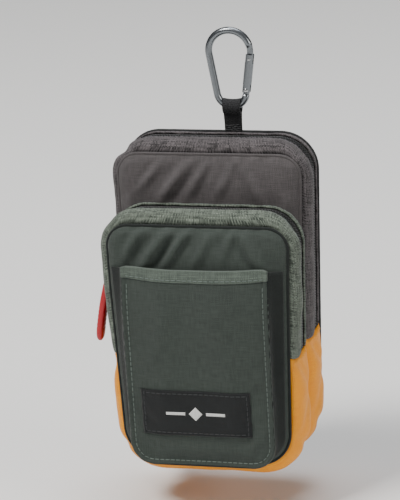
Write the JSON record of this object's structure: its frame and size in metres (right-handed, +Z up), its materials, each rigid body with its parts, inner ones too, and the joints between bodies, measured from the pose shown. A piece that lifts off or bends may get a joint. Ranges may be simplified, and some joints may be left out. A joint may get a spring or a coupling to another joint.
{
  "type": "golf accessory pouch",
  "caption": "Soft golf accessory pouch with zipped compartments, a front slip pocket and a spring-gate carabiner to hang it from a bag.",
  "frame": {"origin": "the point inside the top bow of the carabiner where it hangs", "axes": "+Z up, the pouch's front faces -Y, +X to the right seen from the front"},
  "size_m": [0.1245, 0.0826, 0.24],
  "materials": {
    "charcoal_fabric": "plain woven nylon, satin",
    "charcoal_heather": "two-tone woven nylon",
    "green_fabric": "plain woven nylon, satin",
    "green_heather": "two-tone woven nylon",
    "green_dark": "plain woven nylon",
    "amber_fabric": "plain woven nylon",
    "binding": "ribbed binding tape",
    "lining": "brushed fleece",
    "foam": "closed-cell foam",
    "zip_tape": "woven tape",
    "zip_coil": "nylon coil",
    "gunmetal": "polished dark plate",
    "steel": "plain",
    "red_pull": "soft moulded rubber",
    "black_webbing": "woven webbing",
    "label_black": "woven label"
  },
  "bodies": {
    "carabiner": {"carabiner_body": "gunmetal", "gate_hinge_pin": "steel"},
    "gate": {"carabiner_gate": "gunmetal", "gate_latch_pin": "steel", "gate_plunger": "steel", "gate_spring": "steel"},
    "pouch": {"back_panel": "charcoal_fabric", "back_foam": "foam", "back_lining": "lining", "back_piping": "binding", "main_wall_back": "charcoal_heather", "main_zip_tape_back": "zip_tape", "main_zip_coil_back": "zip_coil", "main_base_wall": "amber_fabric", "hanging_loop": "black_webbing"},
    "main_cover": {"main_zip_coil_front": "zip_coil", "main_zip_tape_front": "zip_tape", "main_wall_front": "charcoal_heather", "cover_piping": "binding", "cover_lining": "lining", "cover_foam": "foam", "cover_panel": "charcoal_fabric", "front_wall_back": "green_heather", "front_zip_tape_back": "zip_tape", "front_zip_coil_back": "zip_coil", "front_base_wall": "amber_fabric", "front_rear_lining": "lining"},
    "front_cover": {"front_zip_coil_front": "zip_coil", "front_zip_tape_front": "zip_tape", "front_wall_front": "green_heather", "front_piping": "binding", "front_lining": "lining", "front_foam": "foam", "front_panel": "green_fabric", "pocket_gusset": "green_dark", "pocket_front": "green_fabric", "pocket_hem": "green_fabric", "label_patch": "label_black"},
    "main_slider": {"main_zip_slider": "gunmetal"},
    "main_pull": {"main_zip_link": "gunmetal", "main_zip_pull": "red_pull"},
    "front_slider": {"front_zip_slider": "gunmetal"},
    "front_pull": {"front_zip_link": "gunmetal", "front_zip_pull": "red_pull"}
  },
  "joints": [
    {"name": "pouch_swing", "type": "hinge", "parent": "carabiner", "child": "pouch", "pos_m": [0, 0, -0.042], "axis": [1, 0, 0], "range_deg": [-75, 75]},
    {"name": "gate_open", "type": "hinge", "parent": "carabiner", "child": "gate", "pos_m": [0.00878, 0, -0.03229], "axis": [0, -1, 0], "range_deg": [0, 24], "stiffness_Nm_per_rad": 0.02, "springref_deg": -17.19},
    {"name": "main_cover_open", "type": "hinge", "parent": "pouch", "child": "main_cover", "pos_m": [0, -0.03085, -0.236], "axis": [1, 0, 0], "range_deg": [0, 10]},
    {"name": "front_cover_open", "type": "hinge", "parent": "main_cover", "child": "front_cover", "pos_m": [0, -0.06335, -0.236], "axis": [1, 0, 0], "range_deg": [0, 14]},
    {"name": "main_slider_travel", "type": "slide", "parent": "pouch", "child": "main_slider", "axis": [-0.0337, 0, 0.9994], "range_m": [-0.043, 0.036]},
    {"name": "main_pull_swing", "type": "hinge", "parent": "main_slider", "child": "main_pull", "pos_m": [-0.06454, -0.01, -0.12109], "axis": [0, 1, 0], "range_deg": [-4, 136]},
    {"name": "front_slider_travel", "type": "slide", "parent": "main_cover", "child": "front_slider", "axis": [-0.0337, 0, 0.9994], "range_m": [-0.041, 0.007]},
    {"name": "front_pull_swing", "type": "hinge", "parent": "front_slider", "child": "front_pull", "pos_m": [-0.06447, -0.044, -0.12309], "axis": [0, 1, 0], "range_deg": [-4, 136]}
  ]
}
